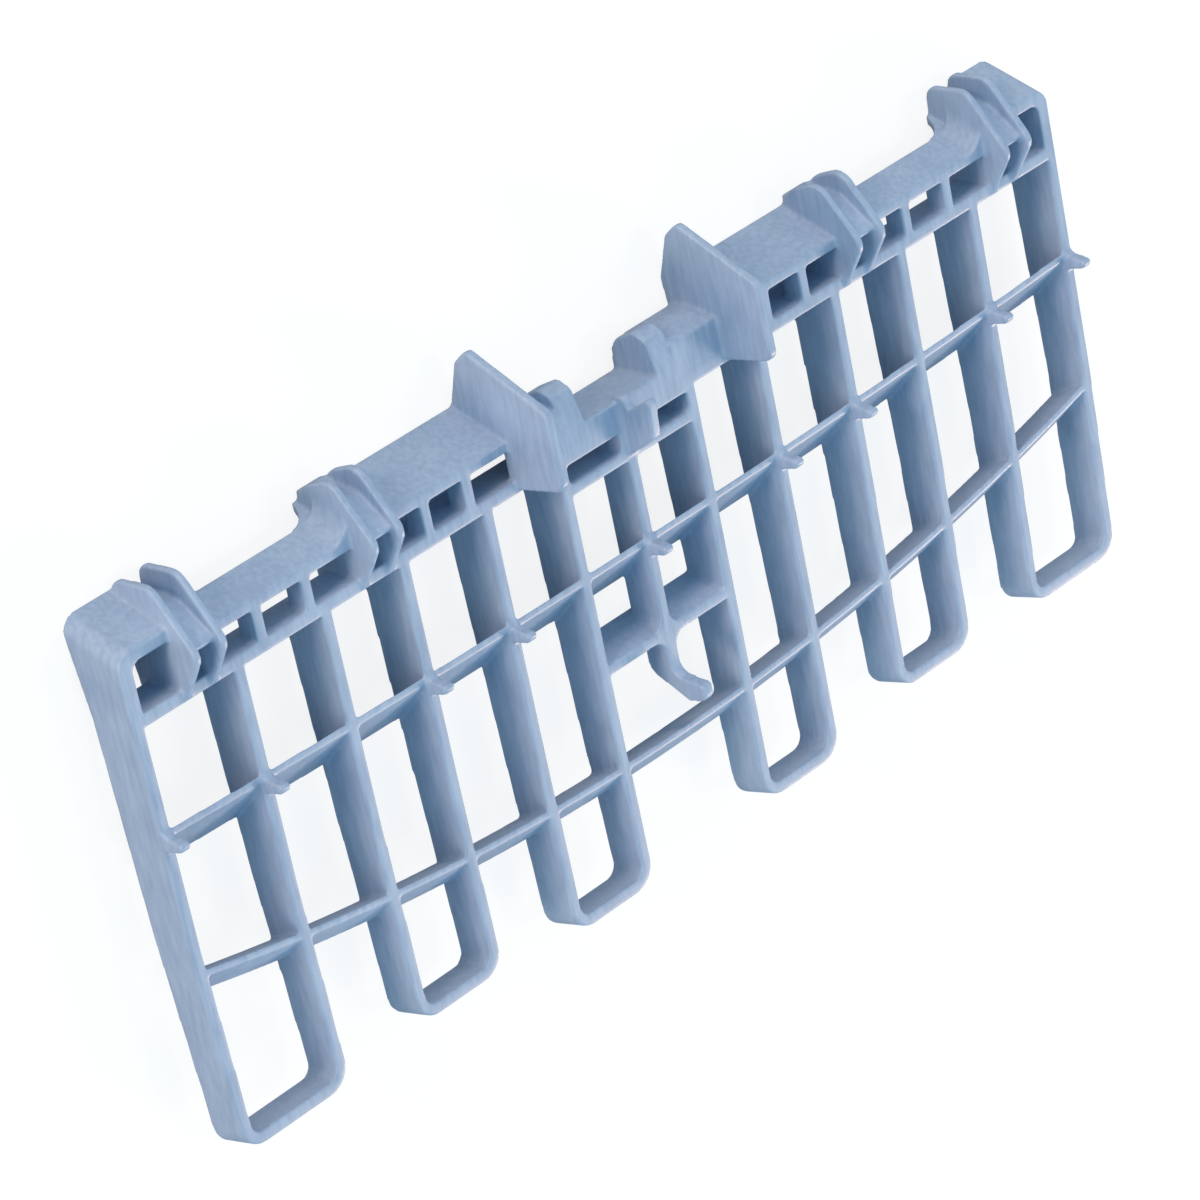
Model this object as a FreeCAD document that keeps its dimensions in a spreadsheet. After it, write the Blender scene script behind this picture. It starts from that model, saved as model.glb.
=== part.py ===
import FreeCAD, Part
import math
import os
import Sketcher
from FreeCAD import Vector

# Cup shelf for a dishwasher rack, moulded in one piece from polypropylene.
# The drawing frame has X along the shelf, Y from the loop tips up to the beam
# and Z out of the front face. The front edges of the fins lie in Z = 0 and the
# lower front edge of the beam's chord lies in Y = 0. The shelf is symmetric
# about X = 0, so the right half is drawn and then mirrored. The finished part
# lies on its back with the origin at the middle of its underside.

DRIVING_SIZES = [
    # walls
    ("fin_wall", 2.8, "thickness of the fins and dividers"),
    ("clip_wall", 1.9, "thickness of the clip ribs"),
    ("plate_wall", 2.4, "thickness of the two pointed plates"),
    ("end_wall", 3.4, "thickness of the end walls"),
    ("skin_wall", 2.0, "thickness of the shells and of the rear wall"),
    # comb of fins and loops
    ("fin_depth", 14.0, "depth of the fins at the chord"),
    ("fin_taper", 0.034, "depth that a fin loses per millimetre of drop"),
    ("loop_a_middle", 32.95, "inner loop, distance from the middle"),
    ("loop_b_middle", 82.85, "middle loop, distance from the middle"),
    ("loop_c_middle", 135.4, "outer loop, distance from the middle"),
    ("loop_a_span", 23.7, "inner loop, leg spacing"),
    ("loop_b_span", 23.7, "middle loop, leg spacing"),
    ("loop_c_span", 29.2, "outer loop, leg spacing"),
    ("loop_a_reach", 110.0, "inner loop, drop of the tip"),
    ("loop_b_reach", 105.8, "middle loop, drop of the tip"),
    ("loop_c_reach", 107.5, "outer loop, drop of the tip"),
    ("loop_bar", 2.9, "thickness of the bottom of a loop"),
    ("loop_round", 6.0, "outer corner radius of a loop"),
    ("lean_start", 55.0, "drop at which the legs begin to lean inwards"),
    ("lean_share", 0.0105, "inward lean at the tip per distance from the middle"),
    # rails across the fins
    ("mid_rail_drop", 28.2, "drop of the middle rail's upper front edge at the middle"),
    ("mid_rail_wall", 2.0, "height of the middle rail's front and rear edges"),
    ("mid_rail_depth", 12.0, "depth of the middle rail"),
    ("mid_rail_slope", 0.98, "fall of the middle rail towards the back"),
    ("mid_rail_radius", 3100.0, "arch radius of the middle rail"),
    ("low_rail_drop", 78.2, "drop of the lower rail's upper front edge at the middle"),
    ("low_rail_lip", 1.6, "height of the lower rail's front lip"),
    ("low_rail_depth", 10.9, "depth of the lower rail"),
    ("low_rail_slope", 0.42, "fall of the lower rail towards the back"),
    ("low_rail_wall", 2.0, "height of the lower rail's rear edge"),
    ("low_rail_belly", 5.8, "depth of the slanted face under the lower rail's lip"),
    ("low_rail_radius", 625.0, "arch radius of the lower rail"),
    ("peg_reach", 6.4, "how far a peg stands out of the front"),
    ("peg_height", 2.0, "height of a peg's nose"),
    ("peg_drop", 3.4, "drop of a peg's middle below the rail's upper front edge"),
    ("peg_flare", 3.5, "rise of a peg's root above its middle"),
    ("peg_round", 0.9, "nose radius of a peg"),
    # middle fin, cross bar and hook
    ("stem_depth", 10.1, "depth of the middle fin"),
    ("foot_round", 3.6, "radius where the middle fin and the hook meet the cross bar"),
    ("cross_drop", 54.8, "drop of the cross bar's lower front edge"),
    ("cross_height", 2.3, "height of the cross bar"),
    ("cross_rise", 2.5, "how much the cross bar rises to the back"),
    ("hook_wall", 3.2, "thickness of the hook"),
    ("hook_drop", 71.6, "drop of the hook's lowest point"),
    ("hook_reach", 10.2, "how far the hook's lip stands out of the front"),
    ("hook_stem", 6.6, "depth of the hook's stem"),
    # beam
    ("chord_height", 3.0, "height of the chord"),
    ("chord_depth", 10.7, "depth of the chord"),
    ("roof_front", 12.9, "height of the roof's upper front edge"),
    ("roof_slope", 0.36, "rise of the roof towards the back"),
    ("roof_wall", 2.5, "height of the roof's front edge"),
    ("beam_depth", 16.5, "depth of the beam at the roof"),
    ("notch_depth", 10.0, "depth of the roof in the narrow bays"),
    ("notch_from", 84.9, "narrow bay notch, inner end"),
    ("notch_to", 126.5, "narrow bay notch, outer end"),
    ("notch_round", 7.5, "corner radius of the notch"),
    ("divider_depth", 6.0, "depth of the dividers"),
    ("divider_a", 49.0, "first divider, distance from the middle"),
    ("divider_b", 62.0, "second divider, distance from the middle"),
    ("divider_c", 98.4, "third divider, distance from the middle"),
    ("divider_d", 113.0, "fourth divider, distance from the middle"),
    ("pocket_from", 41.0, "inner end of the closed pocket in the wide bay"),
    # end boxes
    ("end_front", 18.0, "height of the end box at the front"),
    ("end_slope", 0.345, "rise of the end box towards the back"),
    ("end_roof", 3.1, "height of the end box's front edge"),
    ("end_round", 4.0, "corner radius of the end box"),
    # clips
    ("clip_a_middle", 79.2, "inner clip, distance from the middle"),
    ("clip_b_middle", 132.1, "outer clip, distance from the middle"),
    ("clip_spacing", 7.8, "distance between the two ribs of a clip"),
    ("clip_nose", 7.9, "how far the corner of a clip rib's nose stands out of the front"),
    ("clip_nose_height", 12.1, "height of a clip rib's nose"),
    ("clip_a_top", 26.3, "height of the inner clip ribs"),
    ("clip_b_top", 26.9, "height of the outer clip ribs"),
    ("clip_round", 5.0, "radius of a clip rib's top"),
    ("clip_fillet", 5.5, "radius between the narrow roof and the clip ribs beside it"),
    ("saddle_front", 4.6, "how far the saddle's lip stands out"),
    ("saddle_height", 13.0, "height of the saddle's lip"),
    ("saddle_top", 23.4, "height of the saddle's crest"),
    ("saddle_wall", 1.9, "thickness of the saddle"),
    # pointed plates
    ("plate_middle", 34.3, "pointed plate, distance from the middle"),
    ("plate_reach", 14.9, "how far a pointed plate stands out of the front"),
    ("plate_foot", 3.3, "height of the plate's lower front corner"),
    ("plate_shoulder", 22.4, "height of the plate's front shoulder"),
    ("plate_top", 33.6, "height of the plate's point"),
    ("plate_round", 1.8, "radius of the plate's point"),
    # centre section
    ("recess_half", 12.0, "half the width of the recess"),
    ("recess_floor", 6.6, "height of the recess floor"),
    ("hump_end", 18.6, "outer side of the humps beside the recess"),
    ("hump_top", 16.5, "height of the humps"),
    ("deck_height", 13.2, "height of the deck beside the humps"),
    ("window_from", 2.6, "inner side of the windows under the chord"),
    ("window_drop", 6.0, "drop of the windows"),
    ("window_bar", 2.5, "height of the bar under the windows"),
    ("window_round", 1.6, "corner radius of the windows"),
    ("head_reach", 10.3, "how far the middle fin's head stands out of the front"),
    ("head_top", 9.3, "height of the head's tip"),
    ("head_drop", 1.1, "drop of the head's lower front corner"),
    ("head_valley", 4.9, "height of the dip behind the head's tip"),
    ("head_nub", 7.8, "height of the nub behind the dip"),
]


class Size:
    """A length with its number and the expression that the sheet gives it."""

    def __init__(self, number, text):
        self.number = float(number)
        self.text = text

    @staticmethod
    def of(value):
        return value if isinstance(value, Size) else Size(value, repr(float(value)))

    def _join(self, sign, other, number):
        return Size(number, "(%s %s %s)" % (self.text, sign, other.text))

    def __add__(self, other):
        other = Size.of(other)
        return self._join("+", other, self.number + other.number)

    def __sub__(self, other):
        other = Size.of(other)
        return self._join("-", other, self.number - other.number)

    def __mul__(self, other):
        other = Size.of(other)
        return self._join("*", other, self.number * other.number)

    def __truediv__(self, other):
        other = Size.of(other)
        return self._join("/", other, self.number / other.number)

    def __radd__(self, other):
        return Size.of(other) + self

    def __rsub__(self, other):
        return Size.of(other) - self

    def __rmul__(self, other):
        return Size.of(other) * self

    def __neg__(self):
        return Size.of(-1) * self

    def bound(self):
        return "Sizes." in self.text


doc = FreeCAD.newDocument("CupShelf")
sheet = doc.addObject("Spreadsheet::Sheet", "Sizes")
for row, (alias, value, note) in enumerate(DRIVING_SIZES, start=1):
    sheet.set("A%d" % row, note)
    sheet.set("B%d" % row, str(value))
    sheet.setAlias("B%d" % row, alias)
doc.recompute()


def size(alias):
    return Size(sheet.get(alias), "Sizes." + alias)


def sweep_angle(half_chord, radius):
    """Angle, in degrees, of the arc that spans half_chord on either side."""
    angle = 2 * math.degrees(math.asin(half_chord.number / radius.number))
    return Size(angle, "2 * asin(%s / %s)" % (half_chord.text, radius.text))


def link(item, path, value):
    """Bind a property of an object to a size."""
    if value.bound():
        item.setExpression(path, value.text)


# Sketch planes: turn of the sketch, and the coordinate that its station moves.
PLANES = {
    "front": (FreeCAD.Rotation(), "z"),
    "side": (FreeCAD.Rotation(0.5, 0.5, 0.5, 0.5), "x"),
    "top": (FreeCAD.Rotation(Vector(1, 0, 0), 90), "y"),
}


def rounded(before, corner, after, radius):
    """Tangent points, centre and turning sense of a rounded corner."""
    back = (before - corner).normalize()
    ahead = (after - corner).normalize()
    half = back.getAngle(ahead) / 2
    reach = radius / math.tan(half)
    centre = corner + (back + ahead).normalize() * (radius / math.sin(half))
    left_turn = back.cross(ahead).z < 0
    return corner + back * reach, corner + ahead * reach, centre, left_turn


def outline(name, plane, corners, station=0.0):
    """Closed sketch through corners (u, v) or (u, v, radius), fully constrained."""
    turn, axis = PLANES[plane]
    station = Size.of(station)
    sketch = doc.addObject("Sketcher::SketchObject", name)
    base = Vector(0, 0, 0)
    setattr(base, axis, station.number)
    sketch.Placement = FreeCAD.Placement(base, turn)
    link(sketch, "Placement.Base." + axis, station)
    count = len(corners)
    corners = [tuple(Size.of(value) for value in corner) for corner in corners]
    spots = [Vector(corner[0].number, corner[1].number, 0) for corner in corners]
    bends = {}
    for i, corner in enumerate(corners):
        if len(corner) == 3:
            bends[i] = rounded(spots[i - 1], spots[i], spots[(i + 1) % count], corner[2].number)
    lines = []
    for i in range(count):
        j = (i + 1) % count
        start = bends[i][1] if i in bends else spots[i]
        end = bends[j][0] if j in bends else spots[j]
        lines.append(Part.LineSegment(start, end))
    sketch.addGeometry(lines, False)
    wanted = []
    for i, corner in enumerate(corners):
        before = (i - 1) % count
        if i not in bends:
            place = (i, 1)
            wanted.append((Sketcher.Constraint("Coincident", before, 2, i, 1), None))
        else:
            first, last, centre, left_turn = bends[i]
            a = math.atan2(first.y - centre.y, first.x - centre.x)
            b = math.atan2(last.y - centre.y, last.x - centre.x)
            if not left_turn:
                a, b = b, a
            circle = Part.Circle(centre, Vector(0, 0, 1), corner[2].number)
            arc = sketch.addGeometry(Part.ArcOfCircle(circle, a, b), False)
            spot = sketch.addGeometry(Part.Point(spots[i]), True)
            place = (spot, 1)
            enter, leave = (1, 2) if left_turn else (2, 1)
            wanted.append((Sketcher.Constraint("PointOnObject", spot, 1, before), None))
            wanted.append((Sketcher.Constraint("PointOnObject", spot, 1, i), None))
            wanted.append((Sketcher.Constraint("Tangent", before, 2, arc, enter), None))
            wanted.append((Sketcher.Constraint("Tangent", arc, leave, i, 1), None))
            wanted.append((Sketcher.Constraint("Radius", arc, corner[2].number), corner[2]))
        for kind, value in (("DistanceX", corner[0]), ("DistanceY", corner[1])):
            wanted.append((Sketcher.Constraint(kind, -1, 1, place[0], place[1], value.number), value))
    sketch.addConstraint([constraint for constraint, value in wanted])
    for index, (constraint, value) in enumerate(wanted):
        if value is not None:
            link(sketch, "Constraints[%d]" % index, value)
    return sketch


def extrude(name, sketch, length, both_ways=False, backwards=False):
    """Solid of a sketch along its normal."""
    length = Size.of(length)
    solid = doc.addObject("Part::Extrusion", name)
    solid.Base = sketch
    solid.DirMode = "Normal"
    solid.Solid = True
    solid.LengthFwd = length.number
    link(solid, "LengthFwd", length)
    solid.Symmetric = both_ways
    solid.Reversed = backwards
    return solid


def slab(name, corners, middle, thickness):
    """Piece of constant side profile (Y, Z), centred on a station along X."""
    return extrude(name, outline(name + "Profile", "side", corners, middle), thickness, both_ways=True)


def between(name, corners, start, end):
    """Piece of constant side profile (Y, Z) from one station along X to another."""
    return slab(name, corners, (start + end) / 2, end - start)


def front_piece(name, corners, depth):
    """Piece of constant front outline (X, Y), from the front face backwards."""
    return extrude(name, outline(name + "Outline", "front", corners), depth, backwards=True)


def rail(name, corners, drop, radius, half_length):
    """Bar of constant section (Y, Z) that arches upwards towards both ends."""
    bar = doc.addObject("Part::Revolution", name)
    bar.Source = outline(name + "Section", "side", corners)
    bar.Axis = Vector(0, 0, 1)
    centre = radius - drop
    bar.Base = Vector(0, centre.number, 0)
    link(bar, "Base.y", centre)
    angle = sweep_angle(half_length, radius)
    bar.Angle = angle.number
    link(bar, "Angle", angle)
    bar.Symmetric = True
    bar.Solid = True
    return bar


def joined(name, pieces):
    fusion = doc.addObject("Part::MultiFuse", name)
    fusion.Shapes = pieces
    return fusion


fin_wall = size("fin_wall")
fin_depth = size("fin_depth")
fin_taper = size("fin_taper")
chord_height = size("chord_height")
chord_depth = size("chord_depth")
beam_depth = size("beam_depth")
roof_front = size("roof_front")
roof_slope = size("roof_slope")
roof_wall = size("roof_wall")
roof_back = roof_front + roof_slope * beam_depth
skin_wall = size("skin_wall")
end_wall = size("end_wall")
fin_first = size("loop_a_middle") - size("loop_a_span") / 2
fin_last = size("loop_c_middle") + size("loop_c_span") / 2
half_length = fin_last + fin_wall / 2
root = chord_height / 2

# pieces on the middle line, and pieces of the right half

middle_pieces = []
right_pieces = []

# rails that tie the comb together, and the chord that carries it

mid_drop = size("mid_rail_drop")
mid_depth = size("mid_rail_depth")
mid_back = mid_drop + size("mid_rail_slope") * mid_depth
mid_wall = size("mid_rail_wall")
mid_radius = size("mid_rail_radius")
middle_pieces.append(rail("MiddleRail", [
    (-mid_drop, 0), (-mid_drop - mid_wall, 0), (-mid_back - mid_wall, -mid_depth),
    (-mid_back, -mid_depth)], mid_drop, mid_radius, fin_last))

low_drop = size("low_rail_drop")
low_depth = size("low_rail_depth")
low_lip = low_drop + size("low_rail_lip")
low_belly = size("low_rail_belly")
low_back = low_drop + size("low_rail_slope") * low_depth
middle_pieces.append(rail("LowerRail", [
    (-low_drop, 0), (-low_lip, 0), (-low_lip - low_belly, -low_belly),
    (-low_back - size("low_rail_wall"), -low_depth), (-low_back, -low_depth)],
    low_drop, size("low_rail_radius"), fin_last))
middle_pieces.append(slab("Chord", [(0, 0), (chord_height, 0), (chord_height, -chord_depth),
                                    (0, -chord_depth)], 0.0, 2 * fin_last))

# middle fin on its cross bar, with the hook below and the windows above

cross_low = -size("cross_drop")
cross_top = cross_low + size("cross_height")
cross_rise = size("cross_rise")
cross_middle = (cross_low + cross_top) / 2
middle_pieces.append(slab("CrossBar", [
    (cross_low, 0), (cross_top, 0), (cross_top + cross_rise, -fin_depth),
    (cross_low + cross_rise, -fin_depth)], 0.0, 2 * fin_first))

foot = size("foot_round")
foot_half = fin_wall / 2 + foot * 1.4
stem_depth = size("stem_depth")
middle_pieces.append(front_piece("MiddleFin", [
    (-fin_wall / 2, root), (-fin_wall / 2, cross_top, foot), (-foot_half, cross_top),
    (-foot_half, cross_middle), (foot_half, cross_middle), (foot_half, cross_top),
    (fin_wall / 2, cross_top, foot), (fin_wall / 2, root)], stem_depth))

window_from = size("window_from")
window_to = fin_first - fin_wall / 2
window_low = -size("window_drop")
panel_low = window_low - size("window_bar")
window_round = size("window_round")
middle_pieces.append(front_piece("WindowPanel", [
    (-fin_first, panel_low), (fin_first, panel_low), (fin_first, root), (-fin_first, root)], stem_depth))

hook_low = -size("hook_drop")
hook_lip = size("hook_reach")
hook_wall = size("hook_wall")
hook_back = size("hook_stem") + 0.8
hook_half = hook_wall / 2 + foot * 1.2
middle_pieces.append(slab("Hook", [
    (cross_middle, -0.9), (hook_low + 7.2, 0.4, 3.2), (hook_low + 6.4, hook_lip - 1.0, 0.9),
    (hook_low + 1.8, hook_lip, 2.0), (hook_low, hook_lip - 6.2, 3.0),
    (hook_low + 7.3, -hook_back, 4.0), (cross_middle, -hook_back)], 0.0, hook_wall))
middle_pieces.append(front_piece("HookFoot", [
    (-hook_half, cross_middle), (-hook_half, cross_low), (-hook_wall / 2, cross_low, foot),
    (-hook_wall / 2, cross_low - foot * 1.5), (hook_wall / 2, cross_low - foot * 1.5),
    (hook_wall / 2, cross_low, foot), (hook_half, cross_low), (hook_half, cross_middle)], hook_back))

head_low = (window_low + panel_low) / 2
head_reach = size("head_reach")
head_nub = size("head_nub")
middle_pieces.append(slab("Head", [
    (head_low, -1.8), (head_nub, -1.8, 0.5), (head_nub, 1.3, 0.6), (size("head_valley"), 3.1),
    (size("head_top"), head_reach, 1.0), (-size("head_drop"), head_reach - 0.9, 1.5), (head_low, 0)],
    0.0, fin_wall))

# loops of the right half: U outlines whose legs are the fins and lean inwards

loop_bar = size("loop_bar")
loop_round = size("loop_round")
lean_from = -size("lean_start")
lean = 1 - size("lean_share")
fins = []
for key in "abc":
    middle = size("loop_%s_middle" % key)
    half_span = size("loop_%s_span" % key) / 2
    tip = -size("loop_%s_reach" % key)
    inner_out = middle - half_span - fin_wall / 2
    inner_in = middle - half_span + fin_wall / 2
    outer_in = middle + half_span - fin_wall / 2
    outer_out = middle + half_span + fin_wall / 2
    inner_round = loop_round - loop_bar
    fins += [middle - half_span, middle + half_span]
    right_pieces.append(front_piece("Loop" + key.upper(), [
        (inner_out, root), (inner_out, lean_from), (inner_out * lean, tip, loop_round),
        (outer_out * lean, tip, loop_round), (outer_out, lean_from), (outer_out, root),
        (outer_in, root), (outer_in, lean_from), (outer_in * lean, tip + loop_bar, inner_round),
        (inner_in * lean, tip + loop_bar, inner_round), (inner_in, lean_from), (inner_in, root)],
        fin_depth))

# pegs on the front of the fins, level with the middle rail

peg_reach = size("peg_reach")
peg_round = size("peg_round")
peg_nose = size("peg_height")
peg_flare = size("peg_flare")


def peg(name, station):
    level = station * station / (2 * mid_radius) - mid_drop - size("peg_drop")
    return slab(name, [(level - 1.5, -1.0), (level - 1.4, 0), (level - 0.2, peg_reach - 0.9, peg_round),
                       (level - 0.2 + peg_nose, peg_reach, peg_round), (level + 0.3 + peg_nose, 1.2, 1.5),
                       (level + peg_flare, 0), (level + peg_flare, -1.0)], station, fin_wall)


middle_pieces.append(peg("PegMiddle", Size.of(0.0)))
for number, index in enumerate((1, 2, 4, 5), start=1):
    right_pieces.append(peg("Peg%d" % number, fins[index]))

# roof of the beam, its dividers and the closed pocket of the wide bay

plate_middle = size("plate_middle")
plate_wall = size("plate_wall")
clip_wall = size("clip_wall")
clip_half = size("clip_spacing") / 2
clip_a = size("clip_a_middle")
clip_b = size("clip_b_middle")
divider_depth = size("divider_depth")
roof_middle = roof_front - roof_wall / 2

right_pieces.append(between("Roof", [
    (roof_front - roof_wall, 0), (roof_front, 0), (roof_back, -beam_depth),
    (roof_back - roof_wall, -beam_depth)], plate_middle, clip_b + clip_half))
for key in "abcd":
    right_pieces.append(slab("Divider" + key.upper(), [
        (root, 0), (roof_middle, 0), (roof_middle + roof_slope * divider_depth, -divider_depth),
        (root, -divider_depth)], size("divider_" + key), fin_wall))
right_pieces.append(between("PocketWall", [
    (0, -chord_depth + 1), (chord_height, -chord_depth + 1), (chord_height, -fin_depth + skin_wall),
    (roof_back - roof_wall / 2, -beam_depth + skin_wall), (roof_back - roof_wall / 2, -beam_depth),
    (0, -beam_depth)], size("pocket_from"), clip_a - clip_half))

# end boxes: an angle with a rounded corner, lofted back as its roof rises

end_front = size("end_front")
end_rise = size("end_slope") * beam_depth
end_roof = size("end_roof")
end_round = size("end_round")
inside_round = end_round - end_roof / 2
sections = []
for name, station, rise in (("Front", Size.of(0.0), Size.of(0.0)), ("Back", -beam_depth, end_rise)):
    top = end_front + rise
    sections.append(outline("End%sSection" % name, "front", [
        (clip_b + clip_half, top), (half_length, top, end_round), (half_length, 0),
        (half_length - end_wall, 0), (half_length - end_wall, top - end_roof, inside_round),
        (clip_b + clip_half, top - end_roof)], station))
end_box = doc.addObject("Part::Loft", "EndBox")
end_box.Sections = sections
end_box.Solid = True
end_box.Ruled = True
right_pieces.append(end_box)

# clips: two curved ribs each, with a saddle between them

clip_nose = size("clip_nose")
nose_height = size("clip_nose_height")
rib_top_back = beam_depth / 5
rib_rear = beam_depth * 0.74
saddle_front = size("saddle_front")
saddle_lip = size("saddle_height")
saddle_top = size("saddle_top")
saddle_wall = size("saddle_wall")
for key, middle, back_drop, back, back_round in (
        ("a", clip_a, 3.1, rib_rear, 6.0), ("b", clip_b, 0.9, beam_depth - 0.5, 3.5)):
    top = size("clip_%s_top" % key)
    for side, place in ((-1, "Inner"), (1, "Outer")):
        right_pieces.append(slab("Clip%s%s" % (key.upper(), place), [
            (0, 0), (nose_height, clip_nose, 3.5), (top, -rib_top_back, size("clip_round")),
            (top - back_drop, -back, back_round), (roof_back - 0.8, -beam_depth),
            (0, -beam_depth)], middle + side * clip_half, clip_wall))
    right_pieces.append(slab("Saddle" + key.upper(), [
        (saddle_lip, saddle_front, 0.6), (saddle_top - 0.8, 0.3 - rib_top_back, 4.0),
        (saddle_top, 3.4 - rib_rear, 5.0), (roof_back + 1.8, -beam_depth),
        (roof_back - roof_wall, -beam_depth), (saddle_top - saddle_wall, 3.5 - rib_rear),
        (saddle_top - saddle_wall - 0.5, -rib_top_back - 0.9),
        (saddle_lip - saddle_wall * 0.62, saddle_front - saddle_wall * 0.78)], middle, clip_half * 2))

# fillets where the narrow roof meets the ribs on either side of it

fillet = size("clip_fillet")
notch_depth = size("notch_depth")
for name, face, way in (("FilletInner", clip_a + clip_half + clip_wall / 2, 1),
                        ("FilletOuter", clip_b - clip_half - clip_wall / 2, -1)):
    sections = []
    for end, station, rise in (("Front", Size.of(0.0), Size.of(0.0)),
                               ("Back", -notch_depth, roof_slope * notch_depth)):
        floor = roof_front + rise
        sections.append(outline(name + end, "front", [
            (face - way * clip_wall / 2, floor - roof_wall / 2), (face - way * clip_wall / 2, floor + fillet + 0.1),
            (face, floor + fillet + 0.1), (face, floor, fillet), (face + way * (fillet + 0.1), floor),
            (face + way * (fillet + 0.1), floor - roof_wall / 2)], station))
    loft = doc.addObject("Part::Loft", name)
    loft.Sections = sections
    loft.Solid = True
    loft.Ruled = True
    right_pieces.append(loft)

# pointed plates

plate_reach = size("plate_reach")
plate_foot = size("plate_foot")
shoulder = size("plate_shoulder")
plate_top = size("plate_top")
plate_round = size("plate_round")
right_pieces.append(slab("PointedPlate", [
    (0.8, -skin_wall), (0.8, 0), (plate_foot, plate_reach + 0.4, 2.5), (shoulder, plate_reach, 2.0),
    (plate_top, -beam_depth / 2, plate_round), (plate_top - 3.4, -rib_rear, 2.0),
    (roof_back - 0.4, -beam_depth), (roof_back - 7.8, -beam_depth),
    (roof_front - 3.0, -skin_wall)], plate_middle, plate_wall))

# centre section: recess floor, humps and decks, as shells open to the back

recess_half = size("recess_half")
recess_floor = size("recess_floor")
hump_end = size("hump_end")
hump_top = size("hump_top")
deck = size("deck_height")
recess_depth = beam_depth - 2.1
hump_depth = beam_depth - 2.5
deck_depth = beam_depth - 1.3
deck_crest = beam_depth / 2
hump_crest = beam_depth * 0.37
hump_outside = [(0, 0), (recess_floor + 1.2, -0.1), (hump_top - 1.7, -2.3, 1.8), (hump_top, -hump_crest, 2.5),
                (hump_top - 2.9, -2 * hump_crest, 1.5), (deck - 2.4, -hump_depth)]
hump_inside = [(deck - 2.4, skin_wall - hump_depth), (hump_top - 4.0, 2.0 - 2 * hump_crest),
               (hump_top - skin_wall - 0.2, -hump_crest), (hump_top - 3.3, -3.8),
               (recess_floor + 0.8, -skin_wall), (0, -skin_wall)]
hump_side = hump_outside + [(chord_height, -recess_depth), (chord_height, -chord_depth), (0, -chord_depth)]
middle_pieces.append(between("RecessFloor", [
    (0, 0), (recess_floor, 0), (recess_floor - 0.8, -recess_depth),
    (recess_floor - 0.8 - skin_wall, -recess_depth),
    (recess_floor - skin_wall - 0.4, -chord_depth), (0, -chord_depth)],
    -recess_half - 1, recess_half + 1))
right_pieces.append(between("RecessSide", hump_side, recess_half, recess_half + skin_wall))
right_pieces.append(between("Hump", hump_outside + hump_inside, recess_half, hump_end))
right_pieces.append(between("HumpSide", hump_side, hump_end - skin_wall, hump_end))
right_pieces.append(between("Deck", [
    (0, 0), (deck - 1.3, -0.4, 0.8), (deck + 0.2, -deck_crest, 12.0), (deck - 1.1, -deck_depth),
    (deck - 1.1 - skin_wall, -deck_depth), (deck + 0.2 - skin_wall, -deck_crest), (deck - 3.6, -skin_wall),
    (0, -skin_wall)], hump_end - skin_wall / 2, plate_middle))

# left half and the whole

right_half = joined("RightHalf", right_pieces)
left_half = doc.addObject("Part::Mirroring", "LeftHalf")
left_half.Source = right_half
left_half.Normal = Vector(1, 0, 0)
blank = joined("Blank", middle_pieces + [right_half, left_half])

# cuts through the whole: windows, roof notches, and the tapered rear face

cuts = []
for side, name in ((1, "Right"), (-1, "Left")):
    cuts.append(front_piece("Window" + name, [
        (side * window_from, 0), (side * window_to, 0), (side * window_to, window_low, window_round),
        (side * window_from, window_low, window_round)], stem_depth + 1))
    start = side * size("notch_from")
    end = side * size("notch_to")
    notch = outline("Notch%sOutline" % name, "top", [
        (start, -notch_depth, size("notch_round")), (end, -notch_depth, size("notch_round")),
        (end, -beam_depth - 8), (start, -beam_depth - 8)])
    cuts.append(extrude("Notch" + name, notch, roof_back + 8, backwards=True))
low_end = size("loop_a_reach") * 1.2
cuts.append(slab("RearSpace", [
    (plate_top + 5, -beam_depth), (roof_back, -beam_depth), (0, -fin_depth),
    (-low_end, -fin_depth + fin_taper * low_end), (-low_end, -beam_depth - 5),
    (plate_top + 5, -beam_depth - 5)], 0.0, 2 * half_length + 2))

shelf = doc.addObject("Part::Cut", "CupShelf")
shelf.Label = "cup_shelf"
shelf.Base = blank
shelf.Tool = joined("Cuts", cuts)
shelf.Refine = True
doc.recompute()

# seat the part: lying on its back, with the origin at the middle of its underside

box = shelf.Shape.BoundBox
shelf.Placement = FreeCAD.Placement(Vector(-box.Center.x, -box.Center.y, -box.ZMin), FreeCAD.Rotation())
doc.recompute()

for item in doc.Objects:
    if "Invalid" in item.State or "Error" in item.State:
        raise RuntimeError("%s failed: %s" % (item.Name, item.State))
    if item.isDerivedFrom("Part::Feature") and (item.Shape.isNull() or not item.Shape.isValid()):
        raise RuntimeError("%s has no valid shape" % item.Name)
if len(shelf.Shape.Solids) != 1:
    raise RuntimeError("the shelf came out as %d solids" % len(shelf.Shape.Solids))

os.makedirs("parts", exist_ok=True)
shelf.Shape.exportStep("parts/%s.step" % shelf.Label)
print("volume %.0f mm3, box %s" % (shelf.Shape.Volume, shelf.Shape.BoundBox))
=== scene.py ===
"""Looks of a one-piece cup shelf for a dishwasher rack, lying on its back.

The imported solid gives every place. The shelf's skin is a copy of that solid
with the soft edges that a mould leaves, in pale blue moulded polypropylene.
"""

import logging
import math
from dataclasses import dataclass, field
from enum import Enum
from typing import Any

import bmesh
import bpy
from mathutils import Matrix, Vector


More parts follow.
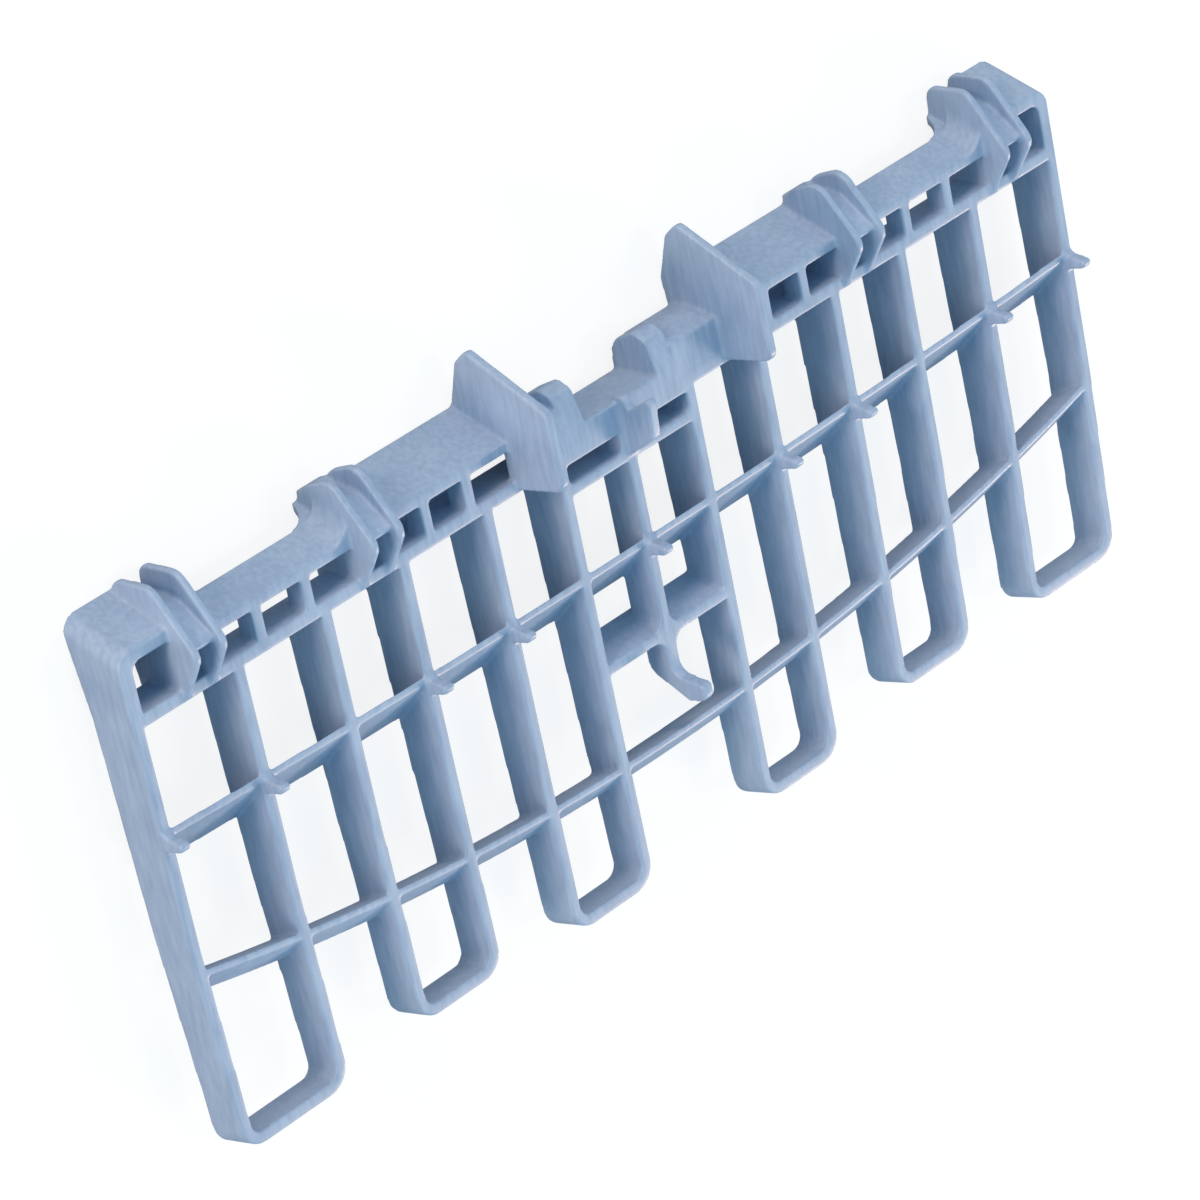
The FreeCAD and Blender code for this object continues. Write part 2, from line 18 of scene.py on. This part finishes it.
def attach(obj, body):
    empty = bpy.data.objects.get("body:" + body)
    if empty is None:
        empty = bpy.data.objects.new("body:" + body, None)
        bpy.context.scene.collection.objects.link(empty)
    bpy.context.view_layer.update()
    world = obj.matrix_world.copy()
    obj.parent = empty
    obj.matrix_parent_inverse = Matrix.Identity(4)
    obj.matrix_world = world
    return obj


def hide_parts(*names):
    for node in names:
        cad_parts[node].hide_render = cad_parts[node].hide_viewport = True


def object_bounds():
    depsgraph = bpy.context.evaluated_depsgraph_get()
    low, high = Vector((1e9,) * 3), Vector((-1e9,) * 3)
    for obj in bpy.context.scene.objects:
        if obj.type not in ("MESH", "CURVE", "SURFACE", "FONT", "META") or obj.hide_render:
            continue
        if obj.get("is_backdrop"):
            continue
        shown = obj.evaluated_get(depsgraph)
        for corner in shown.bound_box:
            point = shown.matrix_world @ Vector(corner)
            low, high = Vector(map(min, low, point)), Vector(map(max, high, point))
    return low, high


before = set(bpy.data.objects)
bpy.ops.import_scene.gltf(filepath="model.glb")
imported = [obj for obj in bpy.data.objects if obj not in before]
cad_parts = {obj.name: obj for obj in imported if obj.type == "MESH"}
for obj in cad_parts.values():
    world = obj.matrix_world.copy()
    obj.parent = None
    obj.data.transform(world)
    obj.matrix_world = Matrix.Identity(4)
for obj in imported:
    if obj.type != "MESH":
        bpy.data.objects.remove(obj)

LOG = logging.getLogger("cup_shelf")
MM = 0.001


# ---------------------------------------------------------------- small tools


def linear(hex_code: str) -> tuple[float, float, float, float]:
    """Turn an sRGB hex colour into linear light.

    Args:
        hex_code: Six hex digits, such as "9bb1cd".

    Returns:
        Red, green, blue and an alpha of 1, linear.
    """
    parts = [int(hex_code[i : i + 2], 16) / 255 for i in (0, 2, 4)]
    red, green, blue = (
        c / 12.92 if c <= 0.04045 else ((c + 0.055) / 1.055) ** 2.4 for c in parts
    )
    return (red, green, blue, 1.0)


def node(
    tree: bpy.types.NodeTree,
    kind: str,
    settings: dict[str, Any] | None = None,
    values: dict[str | int, Any] | None = None,
    links: dict[str | int, bpy.types.NodeSocket] | None = None,
) -> bpy.types.Node:
    """Add a shader node with its settings, socket values and links.

    Args:
        tree: Node tree that takes the node.
        kind: Type name of the node, such as "ShaderNodeTexNoise".
        settings: Properties of the node.
        values: Values of its input sockets, by name or number.
        links: Output sockets that feed its inputs, by input name or number.

    Returns:
        The new node.
    """
    made = tree.nodes.new(kind)
    for name, value in (settings or {}).items():
        setattr(made, name, value)
    for name, value in (values or {}).items():
        made.inputs[name].default_value = value
    for name, source in (links or {}).items():
        tree.links.new(source, made.inputs[name])
    return made


def new_material(name: str) -> bpy.types.Material:
    """Make an empty node material of that name."""
    material = bpy.data.materials.new(name)
    material.use_nodes = True
    material.node_tree.nodes.clear()
    return material


# ------------------------------------------------------------------- finishes


@dataclass(frozen=True)
class MouldedPolypropylene:
    """Pale blue moulded polypropylene: satin, a little uneven, softly waxy.

    The mould's spark-eroded walls leave a fine grain that spreads the
    highlights, and the melt leaves faint flow streaks along the fins.
    """

    colour: str = "9bb1cd"
    pale: str = "a3b9d4"
    deep: str = "92a8c5"
    # Noise lies mostly between these two values, so the tones meet them there.
    deep_at: float = 0.36
    colour_at: float = 0.5
    pale_at: float = 0.64
    ior: float = 1.49
    roughness_low: float = 0.34
    roughness_high: float = 0.48
    roughness_from: float = 0.3
    roughness_to: float = 0.7
    # Clouds are where the melt cooled unevenly, a few to each fin's length.
    cloud_mm: float = 22.0
    cloud_detail: float = 3.0
    cloud_roughness: float = 0.55
    cloud_share: float = 0.40
    # Flow streaks run up the fins, a little off their line.
    streak_mm: float = 1.3
    streak_long_mm: float = 8.0
    streak_turn_deg: float = 12.0
    streak_detail: float = 2.0
    streak_roughness: float = 0.5
    # Eroded grain is about 0.1 mm, too fine to show, so it is drawn coarser.
    grain_mm: float = 0.55
    grain_detail: float = 2.0
    grain_height_mm: float = 0.012
    # Broad shallow sinks, as thin walls show against the light.
    wave_mm: float = 9.0
    wave_detail: float = 1.0
    wave_height_mm: float = 0.05

    def make(self) -> bpy.types.Material:
        """Build the node material.

        Returns:
            The material, ready for a slot.
        """
        material = new_material("moulded_polypropylene")
        tree = material.node_tree
        place = node(tree, "ShaderNodeTexCoord").outputs["Object"]
        cloud = node(
            tree,
            "ShaderNodeTexNoise",
            values={
                "Scale": 1 / (self.cloud_mm * MM),
                "Detail": self.cloud_detail,
                "Roughness": self.cloud_roughness,
            },
            links={"Vector": place},
        ).outputs["Fac"]
        stretched = node(
            tree,
            "ShaderNodeMapping",
            values={
                "Scale": (1.0, self.streak_mm / self.streak_long_mm, 1.0),
                "Rotation": (0.0, 0.0, math.radians(self.streak_turn_deg)),
            },
            links={"Vector": place},
        ).outputs["Vector"]
        streak = node(
            tree,
            "ShaderNodeTexNoise",
            values={
                "Scale": 1 / (self.streak_mm * MM),
                "Detail": self.streak_detail,
                "Roughness": self.streak_roughness,
            },
            links={"Vector": stretched},
        ).outputs["Fac"]
        tone = node(
            tree,
            "ShaderNodeMix",
            values={"Factor": self.cloud_share},
            links={"A": streak, "B": cloud},
        ).outputs["Result"]
        ramp = node(tree, "ShaderNodeValToRGB", links={"Fac": tone})
        ramp.color_ramp.elements[0].position = self.deep_at
        ramp.color_ramp.elements[0].color = linear(self.deep)
        ramp.color_ramp.elements[1].position = self.pale_at
        ramp.color_ramp.elements[1].color = linear(self.pale)
        middle = ramp.color_ramp.elements.new(self.colour_at)
        middle.color = linear(self.colour)
        rough = node(
            tree,
            "ShaderNodeMapRange",
            values={
                "From Min": self.roughness_from,
                "From Max": self.roughness_to,
                "To Min": self.roughness_low,
                "To Max": self.roughness_high,
            },
            links={"Value": streak},
        ).outputs["Result"]
        grain = node(
            tree,
            "ShaderNodeTexNoise",
            values={"Scale": 1 / (self.grain_mm * MM), "Detail": self.grain_detail},
            links={"Vector": place},
        ).outputs["Fac"]
        wave = node(
            tree,
            "ShaderNodeTexNoise",
            values={"Scale": 1 / (self.wave_mm * MM), "Detail": self.wave_detail},
            links={"Vector": place},
        ).outputs["Fac"]
        sink = node(
            tree,
            "ShaderNodeBump",
            values={"Strength": 1.0, "Distance": self.wave_height_mm * MM},
            links={"Height": wave},
        ).outputs["Normal"]
        skin = node(
            tree,
            "ShaderNodeBump",
            values={"Strength": 1.0, "Distance": self.grain_height_mm * MM},
            links={"Height": grain, "Normal": sink},
        ).outputs["Normal"]
        shader = node(
            tree,
            "ShaderNodeBsdfPrincipled",
            values={"IOR": self.ior},
            links={
                "Base Color": ramp.outputs["Color"],
                "Roughness": rough,
                "Normal": skin,
            },
        )
        surface = shader.outputs["BSDF"]
        node(tree, "ShaderNodeOutputMaterial", links={"Surface": surface})
        return material


@dataclass(frozen=True)
class WhitePaperSweep:
    """White paper sweep: matt, with a shadow that is mostly washed out.

    The camera sees white paper with a share of the shadow left on it. Light
    that bounces off it is weaker, and so is the paper's mirror image.
    """

    colour: str = "ffffff"
    bounce: str = "cccccc"
    shadow_share: float = 0.20
    seen_glow: float = 1.06
    mirrored_glow: float = 0.15

    def make(self) -> bpy.types.Material:
        """Build the node material.

        Returns:
            The material: paper for light that bounces, white for the camera.
        """
        material = new_material("white_paper_sweep")
        tree = material.node_tree
        path = node(tree, "ShaderNodeLightPath")
        strength = node(
            tree,
            "ShaderNodeMapRange",
            values={"To Min": self.seen_glow, "To Max": self.mirrored_glow},
            links={"Value": path.outputs["Is Glossy Ray"]},
        ).outputs["Result"]
        glow = node(
            tree,
            "ShaderNodeEmission",
            values={"Color": linear(self.colour)},
            links={"Strength": strength},
        )
        seen = node(
            tree,
            "ShaderNodeMath",
            {"operation": "MAXIMUM"},
            links={0: path.outputs["Is Camera Ray"], 1: path.outputs["Is Glossy Ray"]},
        ).outputs["Value"]
        tint = node(tree, "ShaderNodeValToRGB", links={"Fac": seen})
        tint.color_ramp.elements[0].color = linear(self.bounce)
        tint.color_ramp.elements[1].color = linear(self.colour)
        paper = node(
            tree, "ShaderNodeBsdfDiffuse", links={"Color": tint.outputs["Color"]}
        )
        washed = node(
            tree,
            "ShaderNodeMath",
            {"operation": "MULTIPLY"},
            {1: 1 - self.shadow_share},
            {0: seen},
        ).outputs["Value"]
        mix = node(
            tree,
            "ShaderNodeMixShader",
            links={0: washed, 1: paper.outputs["BSDF"], 2: glow.outputs["Emission"]},
        )
        node(tree, "ShaderNodeOutputMaterial", links={"Surface": mix.outputs["Shader"]})
        return material


# ----------------------------------------------------------------- the shelf


@dataclass(frozen=True)
class Nudge:
    """A small move of the skin's points inside a box, the same on both halves.

    The box spans along the shelf, up the fins and out of the floor, in
    millimetres, with the distance from the middle as its first span.
    """

    along: tuple[float, float]
    up: tuple[float, float]
    out: tuple[float, float]
    move: tuple[float, float, float]

    def holds(self, point: Vector) -> bool:
        """Say whether a point in metres lies in the box on either half."""
        place = (abs(point.x) / MM, point.y / MM, point.z / MM)
        spans = (self.along, self.up, self.out)
        return all(low <= value <= high for value, (low, high) in zip(place, spans))


class MouldTrim(Enum):
    """Where the moulded skin departs a little from the plain solid."""

    INNER_SADDLE_CREST = Nudge(
        (76.1, 82.3), (57.0, 61.9), (6.2, 15.0), (0.0, -2.3, 0.0)
    )
    OUTER_SADDLE_CREST = Nudge(
        (129.0, 135.2), (57.0, 61.9), (6.2, 15.0), (0.0, -2.3, 0.0)
    )
    INNER_SADDLE_LIP = Nudge(
        (76.1, 82.3), (49.5, 52.2), (18.9, 21.4), (0.0, -0.1, 0.8)
    )
    OUTER_SADDLE_LIP = Nudge(
        (129.0, 135.2), (49.5, 52.2), (18.9, 21.4), (0.0, -0.1, 0.8)
    )
    WINDOW_TOPS = Nudge((2.5, 19.8), (38.2, 38.5), (6.2, 16.6), (0.0, -1.1, 0.0))
    HOOK_BELLY = Nudge((0.0, 1.7), (-33.6, -32.0), (18.5, 22.5), (0.0, 1.3, 0.0))
    HOOK_TIP = Nudge((0.0, 1.7), (-32.3, -29.2), (24.5, 27.0), (0.0, 0.9, -0.4))


@dataclass(frozen=True)
class LoopFoot:
    """The bottom of a pair of loops, which falls a little towards the back.

    It spans a distance from the middle and lies under its top, in
    millimetres. Its points go down by the slope times their depth behind the
    fins' front face.
    """

    along: tuple[float, float]
    top: float
    front: float = 16.5
    slope: float = 0.21

    def holds(self, point: Vector) -> bool:
        """Say whether a point in metres lies in the foot of either loop."""
        low, high = self.along
        return low <= abs(point.x) / MM <= high and point.y / MM <= self.top


class LoopFeet(Enum):
    """The feet of the three pairs of loops, by their distance from the middle."""

    INNER = LoopFoot((18.0, 47.0), -65.3)
    MIDDLE = LoopFoot((68.0, 97.0), -61.1)
    OUTER = LoopFoot((117.0, 152.0), -62.8)


@dataclass
class MouldedShelf:
    """The moulded shelf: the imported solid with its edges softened.

    A skin of even small faces is laid round the solid, smoothed until its
    edges are as round as a mould leaves them, and then thinned out. The outer
    face of the last fins stands at face_mm and leans inwards below
    lean_from_mm, by lean_share.
    """

    finish: MouldedPolypropylene = field(default_factory=MouldedPolypropylene)
    name: str = "moulded_shelf"
    solid_name: str = "cup_shelf"
    slot_name: str = "moulded_plastic"
    weld_mm: float = 0.002
    face_mm: float = 151.4
    lean_from_mm: float = -16.6
    lean_share: float = 0.0303
    skin_mm: float = 0.40
    soften_turns: int = 5
    soften_share: float = 0.5
    triangles: int = 180000

    def build(self) -> bpy.types.Object:
        """Copy the solid, soften its edges and dress it.

        Returns:
            The finished piece, riding on the root body.
        """
        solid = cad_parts[self.solid_name]
        shape = bmesh.new()
        shape.from_mesh(solid.data)
        bmesh.ops.remove_doubles(shape, verts=shape.verts, dist=self.weld_mm * MM)
        self._trim_rail_ends(shape)
        self._trim_mould(shape)
        mesh = bpy.data.meshes.new(self.name)
        shape.to_mesh(mesh)
        shape.free()
        piece = bpy.data.objects.new(self.name, mesh)
        bpy.context.scene.collection.objects.link(piece)
        skin = piece.modifiers.new("mould_skin", "REMESH")
        skin.mode = "VOXEL"
        skin.voxel_size = self.skin_mm * MM
        soft = piece.modifiers.new("soft_edges", "SMOOTH")
        soft.factor = self.soften_share
        soft.iterations = self.soften_turns
        self._settle(piece)
        lean = piece.modifiers.new("lean_mesh", "DECIMATE")
        lean.ratio = self.triangles / (2 * len(piece.data.polygons))
        self._settle(piece)
        for face in piece.data.polygons:
            face.use_smooth = True
        piece.data.materials.append(self.finish.make())
        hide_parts(self.solid_name)
        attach(piece, "root")
        return piece

    def _trim_rail_ends(self, shape: bmesh.types.BMesh) -> None:
        """Lay the rails' ends flush with the outer faces of the last fins.

        Args:
            shape: Copy of the solid, in metres.
        """
        for vert in shape.verts:
            lean = max(0.0, self.lean_from_mm * MM - vert.co.y) * self.lean_share
            face = self.face_mm * MM - lean
            vert.co.x = max(-face, min(face, vert.co.x))

    @staticmethod
    def _trim_mould(shape: bmesh.types.BMesh) -> None:
        """Move the points of each small trim, and let the loops' feet fall.

        Args:
            shape: Copy of the solid, in metres.
        """
        for trim in MouldTrim:
            held = [vert for vert in shape.verts if trim.value.holds(vert.co)]
            for vert in held:
                vert.co += Vector(trim.value.move) * MM
            LOG.info("%s: %d points", trim.name.lower(), len(held))
        for feet in LoopFeet:
            foot = feet.value
            for vert in shape.verts:
                if foot.holds(vert.co):
                    vert.co.y -= foot.slope * max(0.0, foot.front * MM - vert.co.z)

    @staticmethod
    def _settle(piece: bpy.types.Object) -> None:
        """Put the result of a piece's modifiers into its mesh.

        Args:
            piece: The piece, which ends without modifiers.
        """
        graph = bpy.context.evaluated_depsgraph_get()
        done = bpy.data.meshes.new_from_object(
            piece.evaluated_get(graph), depsgraph=graph
        )
        piece.modifiers.clear()
        done.name = piece.name
        piece.data = done


# -------------------------------------------------------------- studio, camera


@dataclass(frozen=True)
class Lamp:
    """A far soft lamp: the way to it, and its strength."""

    towards: tuple[float, float, float]
    strength: float


class StudioLamp(Enum):
    """The lamps around the shelf, found from how bright its faces are.

    Left, right, top and lower are the shelf's own: its left end, its beam.
    """

    FRONT_RIGHT = Lamp((0.469, 0.0, 0.883), 0.300)
    LOWER_RIGHT = Lamp((0.664, -0.664, 0.342), 1.280)
    TOP = Lamp((0.0, 0.970, 0.242), 0.800)
    UPPER_LEFT = Lamp((-0.806, 0.544, 0.233), 0.640)
    LEFT = Lamp((-0.992, 0.0, 0.122), 0.860)


@dataclass
class Studio:
    """White sweep, soft warm lamps and a cool room around the shelf."""

    paper: WhitePaperSweep = field(default_factory=WhitePaperSweep)
    floor_half_m: float = 4.0
    warm: tuple[float, float, float] = (1.38, 0.98, 0.77)
    cool: tuple[float, float, float] = (0.61, 0.97, 1.16)
    room_strength: float = 0.610
    softness_deg: float = 18.0

    def build(self) -> None:
        """Lay the sweep, set the lamps and the world."""
        self._sweep()
        for side in StudioLamp:
            self._lamp(side.name.lower() + "_lamp", side.value)
        self._world()

    def _sweep(self) -> None:
        """Lay the paper under the shelf."""
        low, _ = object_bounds()
        shape = bmesh.new()
        bmesh.ops.create_grid(
            shape,
            x_segments=1,
            y_segments=1,
            size=self.floor_half_m,
            matrix=Matrix.Translation((0, 0, low.z)),
        )
        mesh = bpy.data.meshes.new("paper_sweep")
        shape.to_mesh(mesh)
        shape.free()
        mesh.materials.append(self.paper.make())
        floor = bpy.data.objects.new("paper_sweep", mesh)
        bpy.context.scene.collection.objects.link(floor)
        floor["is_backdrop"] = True

    def _lamp(self, name: str, lamp: Lamp) -> None:
        """Set one lamp, so far off that its light comes from one side.

        Args:
            name: Name of the lamp.
            lamp: Where it stands, and its light.
        """
        data = bpy.data.lights.new(name, "SUN")
        data.energy = lamp.strength
        data.color = self.warm
        data.angle = math.radians(self.softness_deg)
        made = bpy.data.objects.new(name, data)
        towards = Vector(lamp.towards).normalized()
        made.matrix_world = towards.to_track_quat("Z", "Y").to_matrix().to_4x4()
        bpy.context.scene.collection.objects.link(made)

    def _world(self) -> None:
        """Make the room a cool soft light that the camera sees as white."""
        world = bpy.data.worlds.new("studio_air")
        world.use_nodes = True
        tree = world.node_tree
        tree.nodes.clear()
        seen = node(tree, "ShaderNodeLightPath").outputs["Is Camera Ray"]
        air = node(tree, "ShaderNodeValToRGB", links={"Fac": seen})
        room = [self.room_strength * share for share in self.cool]
        air.color_ramp.elements[0].color = (*room, 1.0)
        air.color_ramp.elements[1].color = linear(self.paper.colour)
        colour = air.outputs["Color"]
        light = node(tree, "ShaderNodeBackground", links={"Color": colour})
        surface = light.outputs["Background"]
        node(tree, "ShaderNodeOutputWorld", links={"Surface": surface})
        bpy.context.scene.world = world


@dataclass(frozen=True)
class PhotoCamera:
    """The camera at the photograph's place, solved from the shelf's own shape."""

    place_mm: tuple[float, float, float] = (-762.43, 590.98, 890.42)
    right: tuple[float, float, float] = (0.6843, -0.1831, 0.7058)
    down: tuple[float, float, float] = (-0.446, -0.8709, 0.2065)
    ahead: tuple[float, float, float] = (0.5769, -0.4562, -0.6776)
    focal_mm: float = 171.11
    sensor_mm: float = 36.0
    nearest_m: float = 0.05
    farthest_m: float = 50.0

    def build(self) -> bpy.types.Object:
        """Place the camera and make it the scene's own.

        Returns:
            The camera object.
        """
        data = bpy.data.cameras.new("photo_camera")
        data.sensor_fit = "HORIZONTAL"
        data.sensor_width = self.sensor_mm
        data.lens = self.focal_mm
        data.clip_start = self.nearest_m
        data.clip_end = self.farthest_m
        camera = bpy.data.objects.new("photo_camera", data)
        back = -Vector(self.ahead).normalized()
        right = Vector(self.right)
        right = (right - back * right.dot(back)).normalized()
        up = back.cross(right)
        turn = Matrix((right, up, back)).transposed().to_4x4()
        camera.matrix_world = Matrix.Translation(Vector(self.place_mm) * MM) @ turn
        bpy.context.scene.collection.objects.link(camera)
        bpy.context.scene.camera = camera
        return camera


def main() -> None:
    """Build the shelf, the studio and the camera, and log each piece."""
    logging.basicConfig(level=logging.INFO, format="%(name)s: %(message)s")
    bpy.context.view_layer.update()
    bpy.context.scene.view_settings.view_transform = "Standard"
    PhotoCamera().build()
    shelf = MouldedShelf().build()
    LOG.info("%s: %d faces", shelf.name, len(shelf.data.polygons))
    Studio().build()


if __name__ == "__main__":
    main()
